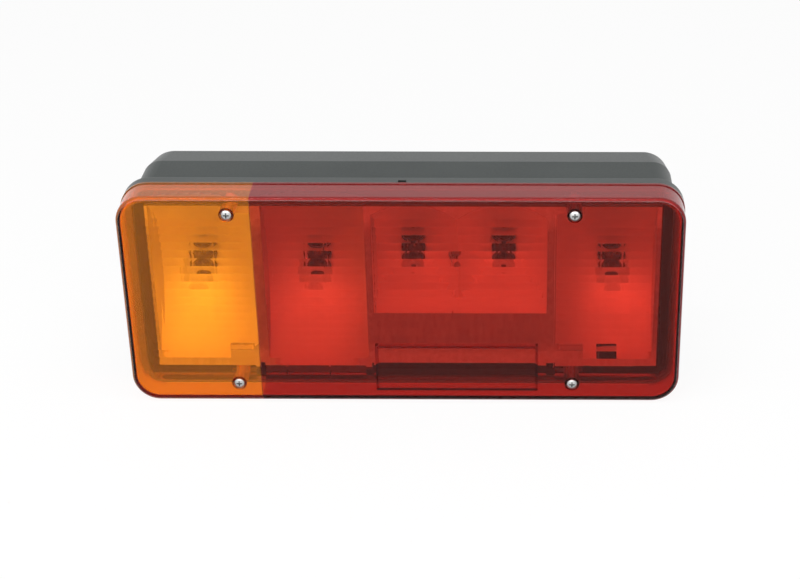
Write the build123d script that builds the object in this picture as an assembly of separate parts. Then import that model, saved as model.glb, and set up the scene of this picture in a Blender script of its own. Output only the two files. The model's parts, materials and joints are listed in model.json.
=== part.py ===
from build123d import *
from math import cos, radians, sin, sqrt
import os

# Rear combination lamp of a truck: a two-colour lens on a black housing, with a
# metallised reflector and five bayonet bulbs inside.
# X runs to the right as the lamp is looked at, Z runs up and the lens faces -Y.
# The origin is midway between the two mounting bolts, on the plane of their pads.

# Outline and depth
lens_width = 410.0
lens_height = 168.0
rim_corner_radius = 21.0
lens_depth = 26.5
housing_depth = 80.5
pad_height = 2.0

# Lens
lens_wall = 3.0
lens_draft = 0.4
lens_edge_radius = 3.2
lens_inner_radius = 2.0
lip_height = 0.6
lip_width = 2.4
foot_thickness = 3.0
seam_x = -107.5
flute_pitch = 6.4
flute_sag = 0.32
flute_root = 0.5
flute_margin = 2.5
zone_gap = 0.8
stop_zone_left_x = -88.0
stop_zone_right_x = -56.0
tail_zone_x = 36.0

# Housing
flange_depth = 9.5
flange_step = 6.0
housing_wall = 3.0
taper_depth = 27.0
taper_height = 2.5
taper_side = 0.8
rear_corner_radius = 20.0
back_edge_radius = 3.0
flange_edge_radius = 1.5
groove_inset = 3.6
groove_width = 3.6
groove_depth = 4.0
gasket_thickness = 2.6
gasket_clearance = 0.1
tongue_clearance = 0.6
notch_x = 0.0
notch_width = 6.0
notch_depth = 4.0

# Lens screws, their bosses in the lens and their pillars in the housing
screw_spacing_x = 248.8
boss_radius = 5.5
boss_clearance = 0.5
screw_head_radius = 3.75
screw_head_height = 2.4
screw_shank_radius = 2.0
screw_length = 42.0
screw_sink = 0.4
seal_radius = 4.2
seal_thickness = 1.0
counterbore_clearance = 0.3
screw_hole_clearance = 0.3
pillar_radius = 5.0
pillar_gap = 0.5
pilot_clearance = 0.1
head_edge_share = 0.65
head_crown_radius_share = 0.72
head_crown_height_share = 0.18
cross_width = 0.9
cross_length = 4.2
cross_depth = 1.4

# Reflector
reflector_wall = 2.5
reflector_lead = 2.5
reflector_side_gap = 17.0
pocket_depth = 40.0
pocket_rim = 2.5
pocket_corner_radius = 1.5
pocket_boss_gap = 8.0
dish_lip = 2.0
seat_margin = 2.0
plate_lip = 2.0
amber_divider = 7.0
stop_right_x = -29.0
tail_left_x = -23.0
tail_right_x = 105.0
fog_left_x = 111.5
tail_pocket_rise = 42.0
stop_pocket_drop = 6.0
land_width = 21.5
land_height = 11.0
land_depth = 11.0
slot_width = 15.0
slot_length = 7.5
slot_height = 12.0
slot_offset = 3.0

# Framed clear window in the red lens
window_left_x = -20.0
window_width = 117.0
window_height = 34.0
window_lift = 11.0
frame_wall = 1.8
frame_depth = 5.0

# Bulbs and bayonet sockets
bulb_z = 7.5
tail_bulb_z = 15.5
indicator_bulb_offset = -6.5
stop_bulb_offset = -1.5
tail_bulb_spacing = 68.0
tail_bulb_offset = -2.0
fog_bulb_offset = 6.0
large_glass_radius = 13.25
large_glass_length = 32.0
small_glass_radius = 9.5
small_glass_length = 21.0
glass_thickness = 0.7
glass_neck_angle = 35.0
neck_radius = 6.6
neck_straight = 2.0
neck_insert = 6.0
cap_radius = 7.5
cap_wall = 0.6
cap_length = 16.0
cap_tip_radius = 3.5
cap_tip_height = 1.5
cap_lead = 7.0
bayonet_pin_radius = 1.0
bayonet_pin_height = 1.2
bayonet_pin_setback = 6.5
stem_radius = 2.2
stem_length = 9.0
stem_foot_height = 1.5
lead_radius = 0.45
lead_spread = 4.0
lead_length = 8.0
filament_radius = 0.8
filament_overhang = 0.4
inner_fit = 0.3
socket_wall = 1.4
socket_fit = 0.25
socket_lead = 6.0
socket_length = 25.0
socket_flange_radius = 13.0
socket_flange_thickness = 1.5
socket_lip_width = 2.4
socket_lip_thickness = 1.2
socket_hole_clearance = 0.3
bayonet_slot_width = 2.6
insulator_thickness = 3.0
contact_head_radius = 4.5
contact_head_thickness = 0.8
contact_stem_radius = 2.0
contact_tail = 4.0

# Reflector screw and its pillar
reflector_screw_offset = -4.0
reflector_screw_z = 13.0
reflector_screw_head_radius = 4.0
reflector_screw_length = 16.0
reflector_well_clearance = 0.8

# Current strips
strip_width = 5.0
strip_thickness = 0.8
earth_bar_z = 39.0
earth_drop_x = -22.0
outer_run_z = -20.0
stop_run_z = -12.0
tail_run_z = -4.0

# Connector
connector_x = 0.0
connector_lift = 36.0
connector_width = 48.0
connector_height = 18.0
connector_wall = 2.0
connector_shroud = 17.0
connector_plug = 8.0
connector_fit = 0.3
connector_flange = 4.0
connector_flange_thickness = 2.0
connector_seal_thickness = 1.0
pin_pitch = 8.0
pin_width = 6.3
pin_thickness = 0.8
pin_reach = 9.0

# Mounting bolts and breather
bolt_spacing = 220.0
bolt_radius = 4.0
bolt_neck_radius = 4.6
bolt_reach = 25.0
bolt_head_flats = 13.0
bolt_head_height = 5.3
bolt_hole_clearance = 0.2
bolt_pocket_clearance = 0.15
bolt_boss_radius = 12.0
bolt_boss_height = 12.0
bolt_chamfer = 1.0
pad_radius = 17.0
breather_inset = 55.0
breather_lift = 39.0
breather_stem_radius = 4.0
breather_cap_radius = 7.5
breather_cap_height = 5.0
breather_fit = 0.1
breather_bead = 0.8

# Drawing aids: how far a cutter runs past a face, and how near counts as on a plane
overrun = 1.0
near = 0.001

# Planes across the lamp, from the lens face to the mounting pads
back_y = -pad_height
inner_back_y = back_y - housing_wall
flange_y = back_y - housing_depth
front_y = flange_y - lens_depth
inner_face_y = front_y + lens_wall
flange_back_y = flange_y + flange_depth
taper_y = back_y - taper_depth
plate_y = flange_y - reflector_lead
plate_back_y = plate_y + reflector_wall
floor_y = plate_y + pocket_depth
floor_back_y = floor_y + reflector_wall
land_back_y = plate_y + land_depth
cap_y = floor_y - cap_lead
socket_y = floor_y - socket_lead
socket_back_y = socket_y + socket_length
contact_y = cap_y + cap_length + cap_tip_height
insulator_back_y = socket_back_y - socket_lip_thickness
insulator_y = insulator_back_y - insulator_thickness
strip_y = socket_back_y + contact_tail
earth_y = floor_back_y + socket_flange_thickness

# Places that follow from the sizes above
gasket_y = flange_y + groove_depth - gasket_thickness
cavity_inset = flange_step + housing_wall
screw_x = screw_spacing_x / 2
screw_z = lens_height / 2 - cavity_inset - boss_clearance - boss_radius
bolt_places = (-bolt_spacing / 2, bolt_spacing / 2)
screw_places = [(x, z) for x in (-screw_x, screw_x) for z in (-screw_z, screw_z)]
head_y = front_y + screw_sink
seal_y = head_y + screw_head_height
seat_y = seal_y + seal_thickness
screw_hole_radius = screw_shank_radius + screw_hole_clearance

plate_half_width = lens_width / 2 - reflector_side_gap
plate_top = screw_z - screw_hole_radius + plate_lip
pocket_top = plate_top - plate_lip
low_pocket_top = screw_z - pocket_boss_gap
pocket_bottom = -low_pocket_top
plate_bottom = pocket_bottom - plate_lip
raised_x = screw_x + pillar_radius + pillar_gap + reflector_wall
amber_left_x = -plate_half_width + pocket_rim
amber_right_x = seam_x - amber_divider / 2
stop_left_x = seam_x + amber_divider / 2
fog_right_x = plate_half_width - pocket_rim
tail_bottom = pocket_bottom + tail_pocket_rise
stop_bottom = pocket_bottom - stop_pocket_drop

tail_mid_x = (tail_left_x + tail_right_x) / 2
tail_bulb_x = tail_mid_x + tail_bulb_offset
large_glass = (large_glass_radius, large_glass_length)
small_glass = (small_glass_radius, small_glass_length)
bulbs = {
    "indicator": ((amber_left_x + amber_right_x) / 2 + indicator_bulb_offset, bulb_z, large_glass),
    "stop": ((stop_left_x + stop_right_x) / 2 + stop_bulb_offset, bulb_z, large_glass),
    "tail_left": (tail_bulb_x - tail_bulb_spacing / 2, tail_bulb_z, small_glass),
    "tail_right": (tail_bulb_x + tail_bulb_spacing / 2, tail_bulb_z, small_glass),
    "fog": ((fog_left_x + fog_right_x) / 2 + fog_bulb_offset, bulb_z, large_glass),
}
# each pocket's bulbs, its bottom and its openings; an outer pocket is lower under the upper screw
indicator_openings = ((amber_left_x, amber_right_x, low_pocket_top), (amber_left_x, -raised_x, pocket_top))
stop_openings = ((stop_left_x, stop_right_x, pocket_top),)
tail_openings = ((tail_left_x, tail_right_x, pocket_top),)
fog_openings = ((fog_left_x, fog_right_x, low_pocket_top), (raised_x, fog_right_x, pocket_top))
pockets = (
    (("indicator",), pocket_bottom, indicator_openings),
    (("stop",), stop_bottom, stop_openings),
    (("tail_left", "tail_right"), tail_bottom, tail_openings),
    (("fog",), pocket_bottom, fog_openings),
)
socket_inner_radius = cap_radius + socket_fit
socket_radius = socket_inner_radius + socket_wall
reflector_screw_x = tail_mid_x + reflector_screw_offset

window_mid_x = window_left_x + window_width / 2
window_mid_z = -lens_height / 2 + window_lift + window_height / 2
connector_z = -lens_height / 2 + connector_lift
breather_x = lens_width / 2 - breather_inset
breather_z = -lens_height / 2 + breather_lift
pin_names = ("indicator", "stop", "earth", "tail", "fog")
pin_x = {name: connector_x + (i - (len(pin_names) - 1) / 2) * pin_pitch for i, name in enumerate(pin_names)}


def rim(inset):
    # the lamp's outline, drawn smaller by the inset on every side
    width = lens_width - 2 * inset
    height = lens_height - 2 * inset
    return RectangleRounded(width, height, rim_corner_radius - inset)


def on_plane(outline, y):
    # an outline drawn in X and Z, laid on the plane at that depth
    return Plane.XZ.offset(-y) * outline


def slab(outline, y_start, y_end):
    return extrude(on_plane(outline, y_start), amount=y_end - y_start, dir=(0, 1, 0))


def tapered(outline_start, y_start, outline_end, y_end):
    return loft([on_plane(outline_start, y_start), on_plane(outline_end, y_end)])


def rod(x, z, radius, y_start, y_end):
    return slab(Pos(x, z) * Circle(radius), y_start, y_end)


def bar(x_span, y_span, z_span):
    # a straight bar between two corners
    size = [b - a for a, b in (x_span, y_span, z_span)]
    middle = [(a + b) / 2 for a, b in (x_span, y_span, z_span)]
    return Pos(*middle) * Box(*size)


def turned(profile, x, z, y):
    # a profile drawn as radius and distance towards the back, turned about the line through x and z
    return Pos(x, y, z) * revolve(profile, Axis.Y)


def swept_in_x(section, x_start, x_end):
    # a section drawn in Y and Z, drawn out along the lamp's width
    return extrude(Plane.YZ.offset(x_start) * section, amount=x_end - x_start)


def filled(*lines):
    # the face inside a ring of lines and arcs
    return make_face([edge for line in lines for edge in line.edges()])


def edges_at(shape, y):
    return shape.edges().filter_by_position(Axis.Y, y - near, y + near)


def rear_outline(inset):
    width = lens_width - 2 * (flange_step + taper_side + inset)
    height = lens_height - 2 * (flange_step + taper_height + inset)
    return RectangleRounded(width, height, rear_corner_radius - inset)


def housing_block(inset, y_end):
    # the housing's body behind the flange: straight first, then tapered to the back
    side = rim(flange_step + inset)
    straight = slab(side, flange_y, taper_y)
    return straight + tapered(side, taper_y, rear_outline(inset), y_end)


def make_housing():
    body = housing_block(0, back_y)
    body = fillet(edges_at(body, back_y), back_edge_radius)
    flange = slab(rim(0), flange_y, flange_back_y)
    flange = fillet(edges_at(flange, flange_back_y), flange_edge_radius)
    shell = body + flange - housing_block(housing_wall, inner_back_y)

    for x, z in screw_places:
        shell += rod(x, z, pillar_radius, plate_back_y, back_y - housing_wall / 2)
        wall_z = (lens_height / 2 - flange_step - housing_wall / 2) * (1 if z > 0 else -1)
        web_x = (x - pillar_radius / 2, x + pillar_radius / 2)
        web = bar(web_x, (plate_back_y, taper_y), sorted((z, wall_z)))
        shell += web
    shell += rod(reflector_screw_x, reflector_screw_z, pillar_radius, floor_back_y, back_y - housing_wall / 2)
    for x in bolt_places:
        shell += rod(x, 0, bolt_boss_radius, inner_back_y - bolt_boss_height, back_y - housing_wall / 2)
        shell += rod(x, 0, pad_radius, back_y - housing_wall / 2, 0)

    pilot_radius = screw_shank_radius + pilot_clearance
    for x, z in screw_places:
        shell -= rod(x, z, pilot_radius, plate_back_y, seal_y + screw_length + overrun)
    screw_end = floor_y + reflector_screw_length + overrun
    shell -= rod(reflector_screw_x, reflector_screw_z, pilot_radius, floor_back_y, screw_end)
    groove = rim(groove_inset) - rim(groove_inset + groove_width)
    shell -= slab(groove, flange_y, flange_y + groove_depth)
    for x in bolt_places:
        shell -= rod(x, 0, bolt_neck_radius + bolt_hole_clearance, inner_back_y - bolt_boss_height, 0)
        pocket = bolt_hex(x, bolt_pocket_clearance)
        shell -= slab(pocket, inner_back_y - bolt_boss_height, inner_back_y)
    hole = Pos(connector_x, connector_z) * connector_outline(connector_fit)
    shell -= slab(hole, inner_back_y - overrun, back_y + overrun)
    breather_hole = breather_stem_radius + breather_fit
    shell -= rod(breather_x, breather_z, breather_hole, inner_back_y - overrun, back_y + overrun)
    notch_span = (notch_x - notch_width / 2, notch_x + notch_width / 2)
    top = lens_height / 2
    shell -= bar(notch_span, (flange_y, flange_y + notch_depth), (top - groove_inset / 2, top))
    return shell


def make_gasket():
    outer = rim(groove_inset + gasket_clearance)
    inner = rim(groove_inset + groove_width - gasket_clearance)
    return slab(outer - inner, gasket_y, flange_y + groove_depth)


def flutes(x_start, x_end):
    # rows of half-round ribs on the lens's inner face, drawn as one section
    high = plate_top - flute_margin
    count = round(2 * high / flute_pitch)
    pitch = 2 * high / count
    root_y = inner_face_y - flute_root
    crest_y = inner_face_y + flute_sag
    outline = [Polyline((inner_face_y, high), (root_y, high), (root_y, -high), (inner_face_y, -high))]
    for i in range(count):
        z = i * pitch - high
        middle = (crest_y, z + pitch / 2)
        outline.append(ThreePointArc((inner_face_y, z), middle, (inner_face_y, z + pitch)))
    return swept_in_x(filled(*outline), x_start, x_end)


def lens_blank():
    # the whole lens before it is parted at the seam: a shallow tray with a lip and a foot
    outer = tapered(rim(lip_height + lens_draft), front_y, rim(lip_height), flange_y)
    outer = fillet(edges_at(outer, front_y), lens_edge_radius)
    inset = lip_height + lens_wall
    inner = tapered(rim(inset + lens_draft), inner_face_y, rim(inset), flange_y)
    inner = fillet(edges_at(inner, inner_face_y), lens_inner_radius)
    lip = slab(rim(0) - rim(inset), flange_y - lip_width, flange_y)
    foot_inner = groove_inset + groove_width
    foot = slab(rim(lip_height + lens_wall / 2) - rim(foot_inner), flange_y - foot_thickness, flange_y)
    tongue_outer = rim(groove_inset + tongue_clearance)
    tongue_inner = rim(groove_inset + groove_width - tongue_clearance)
    tongue = slab(tongue_outer - tongue_inner, flange_y, gasket_y)
    return outer - inner + lip + foot + tongue


def screwed(lens, sign):
    # the two screw bosses at one end of the lens
    bore = seal_radius + counterbore_clearance
    for z in (-screw_z, screw_z):
        x = sign * screw_x
        lens += rod(x, z, boss_radius, front_y + lens_wall / 2, plate_y)
        lens -= rod(x, z, bore, front_y, seat_y)
        lens -= rod(x, z, screw_hole_radius, seat_y, plate_y)
    return lens


def make_amber_lens():
    lens = split(lens_blank(), bisect_by=Plane.YZ.offset(seam_x), keep=Keep.BOTTOM)
    lens += flutes(-plate_half_width, amber_right_x)
    return screwed(lens, -1)


def make_red_lens():
    lens = split(lens_blank(), bisect_by=Plane.YZ.offset(seam_x), keep=Keep.TOP)
    half_gap = zone_gap / 2
    zones = (
        (stop_left_x, stop_zone_left_x - half_gap),
        (stop_zone_left_x + half_gap, stop_zone_right_x - half_gap),
        (stop_zone_right_x + half_gap, stop_right_x),
        (tail_left_x, tail_zone_x - half_gap),
        (tail_zone_x + half_gap, tail_right_x),
        (fog_left_x, plate_half_width),
    )
    for x_start, x_end in zones:
        lens += flutes(x_start, x_end)
    middle = Pos(window_mid_x, window_mid_z)
    outer = Rectangle(window_width + 2 * frame_wall, window_height + 2 * frame_wall)
    opening = Rectangle(window_width, window_height)
    lens -= slab(middle * outer, inner_face_y, inner_face_y + frame_depth)
    lens += slab(middle * (outer - opening), inner_face_y - lens_wall / 2, inner_face_y + frame_depth)
    return screwed(lens, 1)


def pan_head(radius, height, y):
    # a domed head whose flat underside is at y + height
    edge = height * head_edge_share
    crown = (radius * head_crown_radius_share, height * head_crown_height_share)
    profile = filled(
        Line((0, 0), (0, height)),
        Line((0, height), (radius, height)),
        Line((radius, height), (radius, height - edge)),
        ThreePointArc((radius, height - edge), crown, (0, 0)),
    )
    cross = Rectangle(cross_width, cross_length) + Rectangle(cross_length, cross_width)
    return revolve(Pos(0, y) * profile, Axis.Y) - slab(cross, y - overrun, y + cross_depth)


def make_screw(x, z, head_radius, y, length):
    head = pan_head(head_radius, screw_head_height, y)
    start = y + screw_head_height
    point = screw_shank_radius
    shank = rod(0, 0, screw_shank_radius, start, start + length - point)
    tip = make_face(Polyline((0, 0), (point, 0), (0, point), close=True))
    tip = revolve(Pos(0, start + length - point) * tip, Axis.Y)
    return Pos(x, 0, z) * (head + shank + tip)


def make_seal(x, z):
    ring = Circle(seal_radius) - Circle(screw_hole_radius)
    return slab(Pos(x, z) * ring, seal_y, seat_y)


def dish(x, z, bottom, grow):
    # the parabola turned about a bulb's axis that meets the pocket's farther edge just behind the plate
    reach = max(z - bottom, pocket_top - z)
    spread = reach ** 2 / (pocket_depth - dish_lip)
    depth = pocket_depth + grow + overrun
    radius = sqrt(spread * depth)
    profile = filled(
        Bezier((0, 0), (radius / 2, 0), (radius, -depth)),
        Polyline((radius, -depth), (0, -depth), (0, 0)),
    )
    return turned(profile, x, z, floor_y + grow)


def trough(z, bottom, grow):
    # the space before a parabola drawn out along X, which runs from the bulbs' height to the pocket's bottom
    deep = floor_y + grow + overrun
    shallow = floor_y + grow - pocket_depth + dish_lip
    low = bottom - grow
    high = pocket_top + grow + overrun
    front = plate_y - 2 * overrun
    section = filled(
        Bezier((deep, z), (deep, (z + low) / 2), (shallow, low)),
        Polyline((shallow, low), (front, low - overrun), (front, high), (deep, high), (deep, z)),
    )
    return swept_in_x(section, -plate_half_width, plate_half_width)


def pocket_form(names, bottom, openings, grow, y_start):
    # one pocket of the reflector, or its outside when it is grown by the wall
    block = None
    for x_start, x_end, top in openings:
        across = (x_start - grow, x_end + grow)
        opening = bar(across, (y_start, floor_y + grow), (bottom - grow, top + grow))
        opening = fillet(opening.edges().filter_by(Axis.Y), pocket_corner_radius + grow)
        block = opening if block is None else block + opening
    form = None
    for name in names:
        x, z, glass = bulbs[name]
        bowl = block & dish(x, z, bottom, grow)
        if pocket_top - z > z - bottom:
            bowl &= trough(z, bottom, grow)
        form = bowl if form is None else form + bowl
    return form


def make_reflector():
    shell = bar((-plate_half_width, plate_half_width), (plate_y, plate_back_y), (plate_bottom, plate_top))
    stop_span = (stop_left_x - reflector_wall, stop_right_x + reflector_wall)
    shell += bar(stop_span, (plate_y, plate_back_y), (stop_bottom - plate_lip, plate_bottom))
    for names, bottom, openings in pockets:
        shell += pocket_form(names, bottom, openings, reflector_wall, plate_y)
        for name in names:
            x, z, glass = bulbs[name]
            seat_radius = socket_flange_radius + seat_margin
            shell += rod(x, z, seat_radius, floor_y - socket_lead, floor_back_y)
    well_radius = reflector_screw_head_radius + reflector_well_clearance
    well = (reflector_screw_x, reflector_screw_z)
    shell += rod(*well, well_radius + reflector_wall, plate_back_y, floor_back_y)
    for names, bottom, openings in pockets:
        shell -= pocket_form(names, bottom, openings, 0, plate_y - overrun)
    shell -= rod(*well, well_radius, plate_y - overrun, floor_y)
    shell -= rod(*well, screw_hole_radius, floor_y, floor_back_y)

    # a flat land in the pocket's corner and a lug under it, beside each of the two lower screws
    land_top = pocket_bottom + land_height
    lands = (
        (amber_right_x - land_width, amber_right_x, reflector_wall, 0),
        (fog_left_x, fog_left_x + land_width, 0, reflector_wall),
    )
    for x_start, x_end, left_wall, right_wall in lands:
        shell += bar((x_start, x_end), (plate_y, land_back_y), (pocket_bottom, land_top))
        shell += bar((x_start, x_end), (plate_y, plate_back_y), (-plate_top, plate_bottom))
        inside_x = (x_start + left_wall, x_end - right_wall)
        shell -= bar(inside_x, (plate_back_y, land_back_y), (pocket_bottom, land_top - reflector_wall))

    for x, z in screw_places:
        shell -= rod(x, z, screw_hole_radius, plate_y, plate_back_y)
    for x, z, glass in bulbs.values():
        shell -= rod(x, z, socket_radius + socket_hole_clearance, floor_y - socket_lead, floor_back_y)
    slot_mid = (fog_left_x + fog_right_x) / 2 + slot_offset
    slot_span = (slot_mid - slot_width / 2, slot_mid + slot_width / 2)
    slot_z = (pocket_bottom - reflector_wall - overrun, pocket_bottom + slot_height)
    shell -= bar(slot_span, (plate_back_y, plate_back_y + slot_length), slot_z)
    return shell


def glass_form(radius, length, thickness):
    # a bulb's envelope: a ball drawn in to a neck; y is 0 at the cap's edge and grows to the back
    ball = radius - thickness
    neck = neck_radius - thickness
    centre = radius - length
    low = ball * cos(radians(glass_neck_angle))
    side = ball * sin(radians(glass_neck_angle))
    start = (0, centre - ball)
    dome = ThreePointArc(start, (ball, centre), (low, centre + side))
    throat = Spline(dome @ 1, (neck, -neck_straight), tangents=(dome % 1, (0, 1)))
    end = neck_insert + (overrun if thickness else 0)
    walls = Polyline((neck, -neck_straight), (neck, end), (0, end), start)
    return revolve(filled(dome, throat, walls), Axis.Y)


def make_glass(x, z, glass):
    radius, length = glass
    hollow = glass_form(radius, length, 0) - glass_form(radius, length, glass_thickness)
    return Pos(x, cap_y, z) * hollow


def make_cap(x, z):
    inner = cap_radius - cap_wall
    floor = cap_length - cap_wall
    profile = make_face(
        Polyline(
            (inner, 0),
            (cap_radius, 0),
            (cap_radius, cap_length),
            (cap_tip_radius, cap_length),
            (cap_tip_radius, cap_length + cap_tip_height),
            (0, cap_length + cap_tip_height),
            (0, floor),
            (inner, floor),
            close=True,
        )
    )
    cap = turned(profile, x, z, cap_y)
    reach = cap_radius + bayonet_pin_height
    pin_y = cap_y + bayonet_pin_setback
    for sign in (-1, 1):
        pin = Pos(x, pin_y, z) * Rot(0, 90 * sign, 0) * Cylinder(bayonet_pin_radius, reach)
        pin = Pos(sign * reach / 2, 0, 0) * pin
        cap += pin
    return cap - rod(x, z, inner, cap_y, cap_y + floor)


def make_filament(x, z):
    # the glass stem with its two lead wires and the coil between their tips
    foot_radius = neck_radius - glass_thickness - inner_fit
    base = cap_y + neck_insert
    top = base - stem_foot_height - stem_length
    tip = top - lead_length
    mount = rod(x, z, foot_radius, base - stem_foot_height, base)
    mount += rod(x, z, stem_radius, top, base)
    for sign in (-1, 1):
        lead_x = x + sign * lead_spread / 2
        lead = rod(lead_x, z, lead_radius, tip, top + overrun)
        mount += lead
    coil_length = lead_spread + 2 * (lead_radius + filament_overhang)
    coil = Pos(x, tip, z) * Rot(0, 90, 0) * Cylinder(filament_radius, coil_length)
    return mount + coil


def make_socket(x, z):
    shell = rod(x, z, socket_radius, socket_y, socket_back_y)
    shell += rod(x, z, socket_flange_radius, floor_back_y, earth_y)
    shell -= rod(x, z, socket_inner_radius, socket_y, insulator_back_y)
    shell -= rod(x, z, socket_inner_radius - socket_lip_width, insulator_back_y, socket_back_y)
    slot_end = cap_y + bayonet_pin_setback + bayonet_slot_width / 2
    for sign in (-1, 1):
        outside = x + sign * (socket_radius + overrun)
        slot_z = (z - bayonet_slot_width / 2, z + bayonet_slot_width / 2)
        shell -= bar(sorted((x + sign * cap_radius, outside)), (socket_y, slot_end), slot_z)
    return shell


def make_insulator(x, z):
    ring = Circle(socket_inner_radius - inner_fit) - Circle(contact_stem_radius + inner_fit)
    return slab(Pos(x, z) * ring, insulator_y, insulator_back_y)


def make_contact(x, z):
    head_end = contact_y + contact_head_thickness
    head = rod(x, z, contact_head_radius, contact_y, head_end)
    collar = rod(x, z, contact_head_radius, head_end, insulator_y)
    return head + collar + rod(x, z, contact_stem_radius, insulator_y, strip_y)


def strip(points, y):
    # a flat strip punched along straight runs, given as X and Z of its corners
    half = strip_width / 2
    pieces = []
    for (x1, z1), (x2, z2) in zip(points, points[1:]):
        x_span = (min(x1, x2) - half, max(x1, x2) + half)
        z_span = (min(z1, z2) - half, max(z1, z2) + half)
        pieces.append(bar(x_span, (y, y + strip_thickness), z_span))
    return pieces[0] + pieces[1:]


def make_feed(name, run_z):
    x, z, glass = bulbs[name]
    end_x = pin_x[name]
    return strip([(x, z), (x, run_z), (end_x, run_z), (end_x, connector_z)], strip_y)


def make_tail_feed():
    (left_x, z, _), (right_x, _, _) = bulbs["tail_left"], bulbs["tail_right"]
    branch = strip([(left_x, z), (left_x, tail_run_z), (right_x, tail_run_z), (right_x, z)], strip_y)
    end_x = pin_x["tail"]
    return branch + strip([(end_x, tail_run_z), (end_x, connector_z)], strip_y)


def make_earth_strip():
    # a bar above the sockets with a tab down to each flange and a drop to the connector
    xs = [x for x, z, glass in bulbs.values()]
    earth = strip([(min(xs), earth_bar_z), (max(xs), earth_bar_z)], earth_y)
    for x, z, glass in bulbs.values():
        tab_end = z + socket_radius + inner_fit + strip_width / 2
        earth += strip([(x, earth_bar_z), (x, tab_end)], earth_y)
    end_x = pin_x["earth"]
    drop = [(earth_drop_x, earth_bar_z), (earth_drop_x, connector_z), (end_x, connector_z)]
    earth += strip(drop, earth_y)
    half = strip_width / 2
    riser_z = (connector_z - half, connector_z - half + strip_thickness)
    earth += bar((end_x - half, end_x + half), (earth_y, strip_y + strip_thickness), riser_z)
    foot_z = (connector_z - half, connector_z + half)
    earth += bar((end_x - half, end_x + half), (strip_y, strip_y + strip_thickness), foot_z)
    return earth


def connector_outline(grow):
    return Rectangle(connector_width + 2 * grow, connector_height + 2 * grow)


def make_connector_socket():
    place = Pos(connector_x, connector_z)
    flange_start = back_y + connector_seal_thickness
    flange_end = flange_start + connector_flange_thickness
    mouth = flange_end + connector_shroud
    body = slab(place * connector_outline(0), inner_back_y - connector_plug, mouth)
    body += slab(place * connector_outline(connector_flange), flange_start, flange_end)
    body -= slab(place * connector_outline(-connector_wall), flange_end, mouth)
    for x in pin_x.values():
        slot = Pos(x, connector_z) * Rectangle(pin_thickness + 2 * inner_fit, pin_width + 2 * inner_fit)
        body -= slab(slot, inner_back_y - connector_plug, flange_end)
    return body


def make_connector_seal():
    ring = connector_outline(connector_flange) - connector_outline(connector_fit)
    return slab(Pos(connector_x, connector_z) * ring, back_y, back_y + connector_seal_thickness)


def make_pin(x):
    end = back_y + connector_seal_thickness + connector_flange_thickness + pin_reach
    blade = Pos(x, connector_z) * Rectangle(pin_thickness, pin_width)
    return slab(blade, strip_y + strip_thickness, end)


def bolt_hex(x, grow):
    return Pos(x, 0) * RegularPolygon((bolt_head_flats + 2 * grow) / 2, 6, major_radius=False)


def make_bolt(x):
    head = slab(bolt_hex(x, 0), inner_back_y - bolt_head_height, inner_back_y)
    neck = rod(x, 0, bolt_neck_radius, inner_back_y, 0)
    shank = rod(x, 0, bolt_radius, 0, bolt_reach)
    shank = chamfer(edges_at(shank, bolt_reach), bolt_chamfer)
    return head + neck + shank


def make_breather():
    # a push-in cap with a bead behind the wall
    profile = make_face(
        Polyline(
            (0, inner_back_y - breather_stem_radius),
            (breather_stem_radius - breather_bead, inner_back_y - breather_stem_radius),
            (breather_stem_radius + breather_bead, inner_back_y - breather_fit),
            (breather_stem_radius, inner_back_y - breather_fit),
            (breather_stem_radius, back_y),
            (breather_cap_radius, back_y),
            (breather_cap_radius, back_y + breather_cap_height / 2),
            (breather_cap_radius - breather_bead, back_y + breather_cap_height),
            (0, back_y + breather_cap_height),
            close=True,
        )
    )
    return turned(profile, breather_x, breather_z, 0)


nodes = {
    "housing": make_housing(),
    "lens_gasket": make_gasket(),
    "amber_lens": make_amber_lens(),
    "red_lens": make_red_lens(),
    "lens_screws": [make_screw(x, z, screw_head_radius, head_y, screw_length) for x, z in screw_places],
    "screw_seals": [make_seal(x, z) for x, z in screw_places],
    "reflector": make_reflector(),
    "reflector_screw": make_screw(
        reflector_screw_x,
        reflector_screw_z,
        reflector_screw_head_radius,
        floor_y - screw_head_height,
        reflector_screw_length,
    ),
    "earth_strip": make_earth_strip(),
    "indicator_feed_strip": make_feed("indicator", outer_run_z),
    "stop_feed_strip": make_feed("stop", stop_run_z),
    "fog_feed_strip": make_feed("fog", outer_run_z),
    "tail_feed_strip": make_tail_feed(),
    "connector_socket": make_connector_socket(),
    "connector_seal": make_connector_seal(),
    "connector_pins": [make_pin(x) for x in pin_x.values()],
    "mounting_bolts": [make_bolt(x) for x in bolt_places],
    "breather_cap": make_breather(),
}
for name, (x, z, glass) in bulbs.items():
    nodes[name + "_bulb_glass"] = make_glass(x, z, glass)
    nodes[name + "_bulb_cap"] = make_cap(x, z)
    nodes[name + "_filament"] = make_filament(x, z)
    nodes[name + "_socket"] = make_socket(x, z)
    nodes[name + "_insulator"] = make_insulator(x, z)
    nodes[name + "_contact"] = make_contact(x, z)

os.makedirs("parts", exist_ok=True)
for name, shape in nodes.items():
    solid = Compound(children=shape) if isinstance(shape, list) else shape
    export_step(solid, f"parts/{name}.step")
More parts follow.
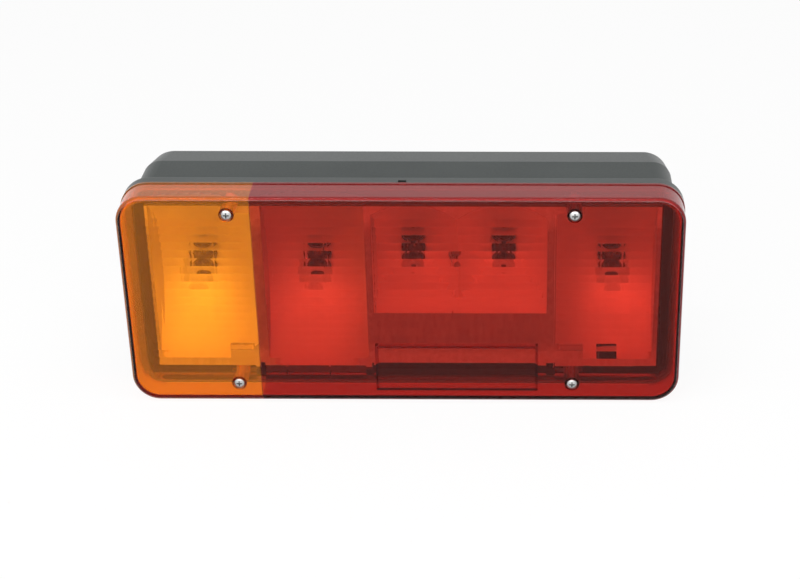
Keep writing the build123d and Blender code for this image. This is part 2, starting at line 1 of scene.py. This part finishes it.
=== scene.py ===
import bpy
import json
from math import radians
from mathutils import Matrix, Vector


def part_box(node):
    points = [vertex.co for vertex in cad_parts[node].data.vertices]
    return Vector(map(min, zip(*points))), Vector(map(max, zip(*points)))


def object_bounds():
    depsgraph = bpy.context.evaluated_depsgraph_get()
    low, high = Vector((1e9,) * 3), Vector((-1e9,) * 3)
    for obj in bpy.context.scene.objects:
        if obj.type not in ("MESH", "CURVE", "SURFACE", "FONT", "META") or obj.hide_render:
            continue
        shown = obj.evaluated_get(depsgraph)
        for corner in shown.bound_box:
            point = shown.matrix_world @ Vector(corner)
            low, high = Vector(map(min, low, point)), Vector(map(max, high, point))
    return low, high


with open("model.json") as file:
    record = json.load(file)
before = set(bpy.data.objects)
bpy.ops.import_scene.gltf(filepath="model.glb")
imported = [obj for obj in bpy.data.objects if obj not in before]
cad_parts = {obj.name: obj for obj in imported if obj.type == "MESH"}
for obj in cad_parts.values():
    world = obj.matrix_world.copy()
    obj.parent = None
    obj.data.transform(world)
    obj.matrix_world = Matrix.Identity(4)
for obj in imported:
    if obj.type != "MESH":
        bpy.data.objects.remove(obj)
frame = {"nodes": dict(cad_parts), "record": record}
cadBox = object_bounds()
cadNodes = frame["nodes"]
print("frame loaded,", len(cadNodes), "nodes")


# node helpers shared by all the finishes

def startFinish(name):
    finish = bpy.data.materials.new(name)
    finish.use_nodes = True  # brings a Principled BSDF, linked to a Material Output
    tree = finish.node_tree
    return finish, tree, tree.nodes["Principled BSDF"]


def feed(tree, value, socket):
    # numbers are set on the socket, fields are linked to it
    if isinstance(value, (int, float, tuple)):
        socket.default_value = value
    else:
        tree.links.new(value, socket)


def mathNode(tree, kind, operation, values):
    node = tree.nodes.new(kind)
    node.operation = operation
    for socket, value in zip(node.inputs, values):
        feed(tree, value, socket)
    return node


def joined(tree, operation, *values):
    return mathNode(tree, "ShaderNodeMath", operation, values).outputs["Value"]


def joinedVectors(tree, operation, *values):
    return mathNode(tree, "ShaderNodeVectorMath", operation, values).outputs["Vector"]


def objectCoords(tree, stretch=(1, 1, 1)):
    coords = tree.nodes.new("ShaderNodeTexCoord")
    mapping = tree.nodes.new("ShaderNodeMapping")
    mapping.inputs["Scale"].default_value = stretch
    tree.links.new(coords.outputs["Object"], mapping.inputs["Vector"])
    return mapping.outputs["Vector"]


def axisOf(tree, axis):
    parts = tree.nodes.new("ShaderNodeSeparateXYZ")
    tree.links.new(objectCoords(tree), parts.inputs["Vector"])
    return parts.outputs[axis]


def noiseField(tree, scale, detail, stretch):
    noise = tree.nodes.new("ShaderNodeTexNoise")
    noise.inputs["Scale"].default_value = scale
    noise.inputs["Detail"].default_value = detail
    tree.links.new(objectCoords(tree, stretch), noise.inputs["Vector"])
    return noise.outputs["Fac"]


def spread(tree, field, low, high, fromLow=0.3, fromHigh=0.7):
    # low to high, from most of a noise's range if no other range is given
    remap = tree.nodes.new("ShaderNodeMapRange")
    remap.inputs["From Min"].default_value = fromLow
    remap.inputs["From Max"].default_value = fromHigh
    feed(tree, low, remap.inputs["To Min"])
    feed(tree, high, remap.inputs["To Max"])
    tree.links.new(field, remap.inputs["Value"])
    return remap.outputs["Result"]


def rising(tree, field, span):
    return spread(tree, field, 0.0, 1.0, *span)  # 0 before the span, 1 past it


def falling(tree, field, span):
    return spread(tree, field, 1.0, 0.0, *span)


def byShare(tree, share, atNone, atFull):
    return spread(tree, share, atNone, atFull, 0.0, 1.0)


def fromEdge(edge, span):
    return [edge + distance for distance in span]


def colourSpread(tree, field, dark, light, fromLow=0.3, fromHigh=0.7):
    ramp = tree.nodes.new("ShaderNodeValToRGB")
    ramp.color_ramp.elements[0].position = fromLow
    ramp.color_ramp.elements[1].position = fromHigh
    ramp.color_ramp.elements[0].color = (*dark, 1)
    ramp.color_ramp.elements[1].color = (*light, 1)
    tree.links.new(field, ramp.inputs["Fac"])
    return ramp.outputs["Color"]


def blended(tree, share, first, second):
    mix = tree.nodes.new("ShaderNodeMix")
    mix.data_type = "RGBA"
    tree.links.new(share, mix.inputs["Factor"])
    tree.links.new(first, mix.inputs[6])  # 6, 7 and 2 are the node's colour sockets
    tree.links.new(second, mix.inputs[7])
    return mix.outputs[2]


def addBump(tree, shader, field, distance):
    bump = tree.nodes.new("ShaderNodeBump")
    bump.inputs["Distance"].default_value = distance
    tree.links.new(field, bump.inputs["Height"])
    tree.links.new(bump.outputs["Normal"], shader.inputs["Normal"])


def mixedSurface(tree, out, share, first, second):
    mix = tree.nodes.new("ShaderNodeMixShader")
    tree.links.new(share, mix.inputs["Fac"])
    tree.links.new(first.outputs[0], mix.inputs[1])
    tree.links.new(second.outputs[0], mix.inputs[2])
    tree.links.new(mix.outputs["Shader"], out.inputs["Surface"])


# grained solid finishes: dark and light shade in blotches, roughness and a fine relief in the grain
# a higher scale makes blotches or grain smaller

noiseDetail = {"blotches": 3.0, "grain": 6.0}


def grainFields(tree, look):
    stretch = look.get("stretch", (1, 1, 1))
    blotches = noiseField(tree, look["blotchScale"], noiseDetail["blotches"], stretch)
    grain = noiseField(tree, look["grainScale"], noiseDetail["grain"], stretch)
    return blotches, grain


def grainedFinish(name, look):
    finish, tree, shader = startFinish(name)
    blotches, grain = grainFields(tree, look)
    tree.links.new(colourSpread(tree, blotches, look["dark"], look["light"]), shader.inputs["Base Color"])
    tree.links.new(spread(tree, grain, *look["roughness"]), shader.inputs["Roughness"])
    addBump(tree, shader, grain, look["grainDepth"])
    shader.inputs["Metallic"].default_value = look.get("metallic", 0.0)
    return finish


rubberLook = {
    "dark": (0.016, 0.016, 0.017), "light": (0.03, 0.03, 0.03),
    "roughness": (0.6, 0.8), "blotchScale": 60.0, "grainScale": 1500.0, "grainDepth": 0.00003,
}
connectorLook = {
    "dark": (0.022, 0.022, 0.024), "light": (0.034, 0.034, 0.036),
    "roughness": (0.3, 0.45), "blotchScale": 40.0, "grainScale": 1200.0, "grainDepth": 0.00002,
}
boardLook = {
    "dark": (0.16, 0.08, 0.04), "light": (0.28, 0.15, 0.08),
    "roughness": (0.45, 0.6), "blotchScale": 120.0, "grainScale": 900.0, "grainDepth": 0.00002,
}
boltLook = {
    "dark": (0.48, 0.48, 0.46), "light": (0.66, 0.65, 0.61), "metallic": 1.0,
    "roughness": (0.25, 0.42), "blotchScale": 150.0, "grainScale": 1400.0, "grainDepth": 0.00002,
    "stretch": (1, 6, 1),
}
socketLook = {
    "dark": (0.06, 0.06, 0.055), "light": (0.11, 0.105, 0.10), "metallic": 1.0,
    "roughness": (0.35, 0.55), "blotchScale": 160.0, "grainScale": 1200.0, "grainDepth": 0.00001,
}
capLook = {
    "dark": (0.05, 0.045, 0.04), "light": (0.09, 0.085, 0.075), "metallic": 1.0,
    "roughness": (0.28, 0.45), "blotchScale": 180.0, "grainScale": 1300.0, "grainDepth": 0.00001,
}
filamentLook = {
    "dark": (0.05, 0.05, 0.05), "light": (0.10, 0.10, 0.10), "metallic": 0.8,
    "roughness": (0.3, 0.5), "blotchScale": 200.0, "grainScale": 1500.0, "grainDepth": 0.00001,
}
brassLook = {
    "dark": (0.55, 0.38, 0.14), "light": (0.74, 0.56, 0.26), "metallic": 1.0,
    "roughness": (0.25, 0.42), "blotchScale": 90.0, "grainScale": 1100.0, "grainDepth": 0.00001,
}
pinLook = {
    "dark": (0.62, 0.61, 0.58), "light": (0.78, 0.77, 0.73), "metallic": 1.0,
    "roughness": (0.2, 0.36), "blotchScale": 160.0, "grainScale": 1300.0, "grainDepth": 0.00001,
}


# the housing: the band between the flange and the tapered back is moulded duller

housingLook = {
    "dark": (0.014, 0.020, 0.019), "light": (0.024, 0.031, 0.029),
    "roughness": (0.30, 0.40), "blotchScale": 14.0, "grainScale": 900.0, "grainDepth": 0.00004,
    "flangeBack": (0.0090, 0.0100),  # from the housing's front
    "taperStart": (-0.0300, -0.0285),  # from its back
    "shine": (0.5, 0.24),  # outside the band and in it
}


def housingFinish(name, look):
    finish = grainedFinish(name, look)
    tree = finish.node_tree
    front, back = [corner.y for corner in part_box("housing")]
    depth = axisOf(tree, "Y")
    behindFlange = rising(tree, depth, fromEdge(front, look["flangeBack"]))
    beforeTaper = falling(tree, depth, fromEdge(back, look["taperStart"]))
    band = joined(tree, "MULTIPLY", behindFlange, beforeTaper)
    shineSocket = tree.nodes["Principled BSDF"].inputs["Specular IOR Level"]
    tree.links.new(byShare(tree, band, *look["shine"]), shineSocket)
    return finish


# the screws: zinc, with painted shade in the cross of the heads, where occlusion darkens the colour

screwLook = {
    "dark": (0.40, 0.40, 0.40), "light": (0.58, 0.58, 0.57), "metallic": 1.0,
    "roughness": (0.26, 0.40), "blotchScale": 220.0, "grainScale": 1600.0, "grainDepth": 0.00001,
    "crossReach": 0.0025,  # walls farther off than this don't darken
    "crossOpen": (0.35, 0.85),  # how open a point is, deep in the cross and on the dome
    "crossShade": (0.08, 1.0),
}


def screwFinish(name, look):
    finish = grainedFinish(name, look)
    tree = finish.node_tree
    colourSocket = tree.nodes["Principled BSDF"].inputs["Base Color"]
    zinc = colourSocket.links[0].from_socket
    # painted shade: the colour is darkened where nearby walls close a point in, deep in the cross
    crossOcclusion = tree.nodes.new("ShaderNodeAmbientOcclusion")
    crossOcclusion.only_local = True
    crossOcclusion.inputs["Distance"].default_value = look["crossReach"]
    shade = spread(tree, crossOcclusion.outputs["AO"], *look["crossShade"], *look["crossOpen"])
    tree.links.new(joinedVectors(tree, "MULTIPLY", zinc, shade), colourSocket)
    return finish


# the reflector: silver in its pockets, dull on the flat front between them
# the front is lighter near its long rims and bare at its very edges
# low down behind the red lens the pockets' silver is darker, a painted shade; under the tail bulbs they
# are less metallic, so matt

metallisedLook = {
    "silver": ((0.80, 0.79, 0.78), (0.90, 0.89, 0.88)),
    # painted shade: darker silver for the pockets low down behind the red lens
    "shadedLowSilver": ((0.66, 0.65, 0.64), (0.75, 0.74, 0.73)),
    "dull": ((0.28, 0.28, 0.28), (0.38, 0.38, 0.38)),
    "rim": ((0.46, 0.46, 0.46), (0.58, 0.58, 0.58)),
    "bare": ((0.05, 0.05, 0.05), (0.09, 0.09, 0.09)),
    "roughness": (0.45, 0.57), "dullRoughness": 0.6, "tailMetal": 0.3,
    "blotchScale": 22.0, "grainScale": 260.0, "grainDepth": 0.00006,
    "pocketDepth": (0.0004, 0.0010),  # from the flat front
    "rimInset": (-0.0232, -0.0132), "edgeInset": (-0.0027, -0.0023),  # from the top, mirrored below
    "lowHeight": (-0.040, -0.008),  # from the lamp's middle
    "pastSeam": (0.0005, 0.0015),  # from the red lens's left end
    "tailLeft": (-0.0215, -0.0205), "tailRight": (0.0245, 0.0255),  # from the tail bulbs' outer sides
    "bulbHeight": (0.0, 0.010),  # from their lowest point
}


def metallisedFinish(name, look):
    finish, tree, shader = startFinish(name)
    blotches, grain = grainFields(tree, look)
    plateLow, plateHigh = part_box("reflector")
    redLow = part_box("red_lens")[0]
    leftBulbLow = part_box("tail_left_bulb_glass")[0]
    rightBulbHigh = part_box("tail_right_bulb_glass")[1]
    across = axisOf(tree, "X")
    height = axisOf(tree, "Z")
    offMiddle = joined(tree, "ABSOLUTE", height)
    # where each shade goes
    inPocket = rising(tree, axisOf(tree, "Y"), fromEdge(plateLow.y, look["pocketDepth"]))
    nearRim = rising(tree, offMiddle, fromEdge(plateHigh.z, look["rimInset"]))
    atEdge = rising(tree, offMiddle, fromEdge(plateHigh.z, look["edgeInset"]))
    behindRed = rising(tree, across, fromEdge(redLow.x, look["pastSeam"]))
    shadedLowBehindRed = joined(tree, "MULTIPLY", behindRed, falling(tree, height, look["lowHeight"]))
    pastLeft = rising(tree, across, fromEdge(leftBulbLow.x, look["tailLeft"]))
    beforeRight = falling(tree, across, fromEdge(rightBulbHigh.x, look["tailRight"]))
    inTail = joined(tree, "MULTIPLY", pastLeft, beforeRight)
    belowBulbs = falling(tree, height, fromEdge(leftBulbLow.z, look["bulbHeight"]))
    lowInTail = joined(tree, "MULTIPLY", inTail, belowBulbs)
    # the shades themselves
    silver = colourSpread(tree, blotches, *look["silver"])
    shadedLowSilver = colourSpread(tree, blotches, *look["shadedLowSilver"])
    dull = colourSpread(tree, grain, *look["dull"])
    rim = colourSpread(tree, grain, *look["rim"])
    bare = colourSpread(tree, grain, *look["bare"])
    front = blended(tree, atEdge, blended(tree, nearRim, dull, rim), bare)
    # painted shade: the darker silver goes low in the pockets behind the red lens
    pocket = blended(tree, shadedLowBehindRed, silver, shadedLowSilver)
    tree.links.new(blended(tree, inPocket, front, pocket), shader.inputs["Base Color"])
    metal = byShare(tree, lowInTail, 1.0, look["tailMetal"])
    tree.links.new(joined(tree, "MULTIPLY", inPocket, metal), shader.inputs["Metallic"])
    pocketRough = spread(tree, grain, *look["roughness"])
    rough = byShare(tree, inPocket, look["dullRoughness"], pocketRough)
    tree.links.new(rough, shader.inputs["Roughness"])
    addBump(tree, shader, grain, look["grainDepth"])
    return finish


# clear walls: rays from lamps go straight through, so that what is behind the wall is lit
# a thin wall also lets a share of all other rays straight through

def lampRaysPass(tree, shader, tint, thinShare=0.0):
    path = tree.nodes.new("ShaderNodeLightPath")
    clear = tree.nodes.new("ShaderNodeBsdfTransparent")
    clear.inputs["Color"].default_value = (*tint, 1)
    share = joined(tree, "MAXIMUM", path.outputs["Is Shadow Ray"], thinShare)
    mixedSurface(tree, tree.nodes["Material Output"], share, shader, clear)


# the lenses: the colour is in the depth of the wall, so edges look deeper
# skinShare is the matt share of the rim's outer skin, frost that of the inside of the rim and foot
# haze is that of the fluted face inside

lensLook = {
    "ior": 1.49, "roughness": 0.015, "shine": (0.31, 0.31, 0.31), "rimRadius": 0.021,
    "skin": (0.0024, 0.0032), "skinShare": 0.20, "band": (0.0050, 0.0075),  # depths inside the rim
    "innerFace": (0.0012, 0.0018),  # from the lens's front
    "columnPitch": 0.0082, "columnDepth": 0.00012,
}
amberLook = {
    "absorb": (0.960, 0.715, 0.010), "density": 680.0,
    "haze": 0.18, "frost": 0.16, "edge": (0.95, 0.35, 0.07),
}
redLook = {
    "absorb": (0.836, 0.170, 0.0080), "density": 660.0,
    "haze": 0.06, "frost": 0.12, "edge": (0.75, 0.06, 0.06),
}


def rimDepth(tree):
    # how far inside the lamp's outline a point is, up to the corner radius
    radius = lensLook["rimRadius"]
    straight = (cadBox[1].x - radius, 0, cadBox[1].z - radius)
    offMiddle = joinedVectors(tree, "ABSOLUTE", objectCoords(tree, (1, 0, 1)))
    pastStraight = joinedVectors(tree, "SUBTRACT", offMiddle, straight)
    outward = joinedVectors(tree, "MAXIMUM", pastStraight, (0, 0, 0))
    length = mathNode(tree, "ShaderNodeVectorMath", "LENGTH", (outward,))
    return joined(tree, "SUBTRACT", radius, length.outputs["Value"])


def lensPlastic(name, look):
    finish, tree, shader = startFinish(name)
    shader.inputs["Specular Tint"].default_value = (*lensLook["shine"], 1)
    shader.inputs["Roughness"].default_value = lensLook["roughness"]
    shader.inputs["IOR"].default_value = lensLook["ior"]
    absorb = tree.nodes.new("ShaderNodeVolumeAbsorption")
    absorb.inputs["Color"].default_value = (*look["absorb"], 1)
    absorb.inputs["Density"].default_value = look["density"]
    tree.links.new(absorb.outputs["Volume"], tree.nodes["Material Output"].inputs["Volume"])
    lampRaysPass(tree, shader, (1, 1, 1))
    # matt skin round the rim and matt or hazy inner face
    depth = rimDepth(tree)
    inside = rising(tree, depth, lensLook["skin"])
    behind = rising(tree, axisOf(tree, "Y"), fromEdge(cadBox[0].y, lensLook["innerFace"]))
    inner = joined(tree, "MULTIPLY", inside, behind)
    matt = spread(tree, depth, look["frost"], look["haze"], *lensLook["band"])
    innerMatt = joined(tree, "MULTIPLY", inner, matt)
    skinMatt = byShare(tree, inside, lensLook["skinShare"], 0.0)
    clear = byShare(tree, joined(tree, "ADD", innerMatt, skinMatt), 1.0, 0.0)
    tree.links.new(clear, shader.inputs["Transmission Weight"])
    tint = colourSpread(tree, inside, look["edge"], (1, 1, 1), 0.0, 1.0)
    tree.links.new(tint, shader.inputs["Base Color"])
    # columns across the flutes make the face a grid of small pillows
    half = lensLook["columnPitch"] / 2
    slide = joined(tree, "PINGPONG", axisOf(tree, "X"), half)
    pillow = falling(tree, joined(tree, "POWER", slide, 2.0), (0.0, half ** 2))
    addBump(tree, shader, joined(tree, "MULTIPLY", pillow, inner), lensLook["columnDepth"])
    return finish


bulbLook = {"tint": (0.99, 0.995, 0.995), "thinShare": 0.92, "roughness": 0.01}


def bulbGlass(name, look):
    finish, tree, shader = startFinish(name)
    shader.inputs["Base Color"].default_value = (*look["tint"], 1)
    shader.inputs["Transmission Weight"].default_value = 1.0
    shader.inputs["Roughness"].default_value = look["roughness"]
    lampRaysPass(tree, shader, look["tint"], look["thinShare"])
    return finish


finishes = {
    "housing_plastic": housingFinish("housingPlastic", housingLook),
    "rubber": grainedFinish("sealRubber", rubberLook),
    "connector_plastic": grainedFinish("connectorNylon", connectorLook),
    "insulator_board": grainedFinish("insulatorBoard", boardLook),
    "screw_steel": screwFinish("screwZinc", screwLook),
    "bolt_steel": grainedFinish("boltZinc", boltLook),
    "socket_steel": grainedFinish("socketSteel", socketLook),
    "cap_metal": grainedFinish("capMetal", capLook),
    "filament_metal": grainedFinish("filamentMetal", filamentLook),
    "strip_brass": grainedFinish("stripBrass", brassLook),
    "pin_metal": grainedFinish("pinTin", pinLook),
    "metallised_plastic": metallisedFinish("metallisedSilver", metallisedLook),
    "amber_plastic": lensPlastic("amberAcrylic", amberLook),
    "red_plastic": lensPlastic("redAcrylic", redLook),
    "bulb_glass": bulbGlass("bulbGlass", bulbLook),
}
for part in frame["record"]["subparts"]:
    for slot in cadNodes[part["node"]].material_slots:
        slot.material = finishes[part["material_slot"]]


# camera at the photo's angle, in front of the lens and 27 degrees above it

cameraPlace = {
    "location": (0.086308, -1.247978, 0.591454), "pitch": 63.0, "yaw": 0.37233,
    "focalPixels": 1759.86, "axisPixel": 511.04, "imageWidth": 800, "sensor": 36.0,
}


def makeCamera(place):
    data = bpy.data.cameras.new("photoCamera")
    data.sensor_fit = "HORIZONTAL"
    data.sensor_width = place["sensor"]
    data.lens = place["focalPixels"] * place["sensor"] / place["imageWidth"]
    data.shift_x = (place["imageWidth"] / 2 - place["axisPixel"]) / place["imageWidth"]
    camera = bpy.data.objects.new("photoCamera", data)
    camera.location = place["location"]
    camera.rotation_euler = (radians(place["pitch"]), 0, radians(place["yaw"]))
    bpy.context.scene.collection.objects.link(camera)
    bpy.context.scene.camera = camera


makeCamera(cameraPlace)
print("camera set")


# white studio: floor at the lamp's lowest edge, white all round
# a wide soft light in front, and a soft one and a narrow strip above, both weaker

studioLook = {
    "floorHalf": 4.0, "floorShade": (0.90, 0.90, 0.90), "floorGlow": 0.90, "worldLight": 0.55,
    "lights": {
        "topSoft": {"at": (0.0, -1.05, 1.35), "aim": (0, -0.05, 0), "size": (2.2, 1.2), "power": 5.0},
        "topStrip": {"at": (0.0, -0.34, 1.2), "aim": (0, -0.10, 0), "size": (1.6, 0.10), "power": 5.0},
        "frontSoft": {"at": (-0.2, -1.9, 0.80), "aim": (0, -0.05, 0), "size": (3.4, 1.1), "power": 33.0},
    },
}


def whiteRays(tree):
    # 1 for the rays that show the background straight, mirrored or through the lens
    path = tree.nodes.new("ShaderNodeLightPath")
    shown = joined(tree, "MAXIMUM", path.outputs["Is Camera Ray"], path.outputs["Is Glossy Ray"])
    return joined(tree, "MAXIMUM", shown, path.outputs["Is Transmission Ray"])


def makeFloor(look, height):
    half = look["floorHalf"]
    mesh = bpy.data.meshes.new("studioFloor")
    corners = [(-half, -half, height), (half, -half, height), (half, half, height), (-half, half, height)]
    mesh.from_pydata(corners, [], [(0, 1, 2, 3)])
    floor = bpy.data.objects.new("studioFloor", mesh)
    bpy.context.scene.collection.objects.link(floor)
    finish = bpy.data.materials.new("studioFloor")
    finish.use_nodes = True
    tree = finish.node_tree
    tree.nodes.clear()
    out = tree.nodes.new("ShaderNodeOutputMaterial")
    matte = tree.nodes.new("ShaderNodeBsdfDiffuse")
    matte.inputs["Color"].default_value = (*look["floorShade"], 1)
    glow = tree.nodes.new("ShaderNodeEmission")
    share = joined(tree, "MULTIPLY", whiteRays(tree), look["floorGlow"])
    mixedSurface(tree, out, share, matte, glow)
    mesh.materials.append(finish)


def makeWorld(look):
    world = bpy.data.worlds.new("studioWhite")
    world.use_nodes = True
    tree = world.node_tree
    tree.nodes.clear()
    out = tree.nodes.new("ShaderNodeOutputWorld")
    dim = tree.nodes.new("ShaderNodeBackground")
    dim.inputs["Strength"].default_value = look["worldLight"]
    white = tree.nodes.new("ShaderNodeBackground")
    for background in (dim, white):
        background.inputs["Color"].default_value = (1, 1, 1, 1)
    mixedSurface(tree, out, whiteRays(tree), dim, white)
    bpy.context.scene.world = world


def makeLight(name, light):
    data = bpy.data.lights.new(name, "AREA")
    data.shape = "RECTANGLE"
    data.size, data.size_y = light["size"]
    data.energy = light["power"]
    lamp = bpy.data.objects.new(name, data)
    lamp.location = light["at"]
    lamp.rotation_euler = (Vector(light["aim"]) - Vector(light["at"])).to_track_quat("-Z", "Y").to_euler()
    bpy.context.scene.collection.objects.link(lamp)


makeFloor(studioLook, cadBox[0].z)
makeWorld(studioLook)
for name, light in studioLook["lights"].items():
    makeLight(name, light)
bpy.context.scene.view_settings.view_transform = "Standard"
print("studio set")
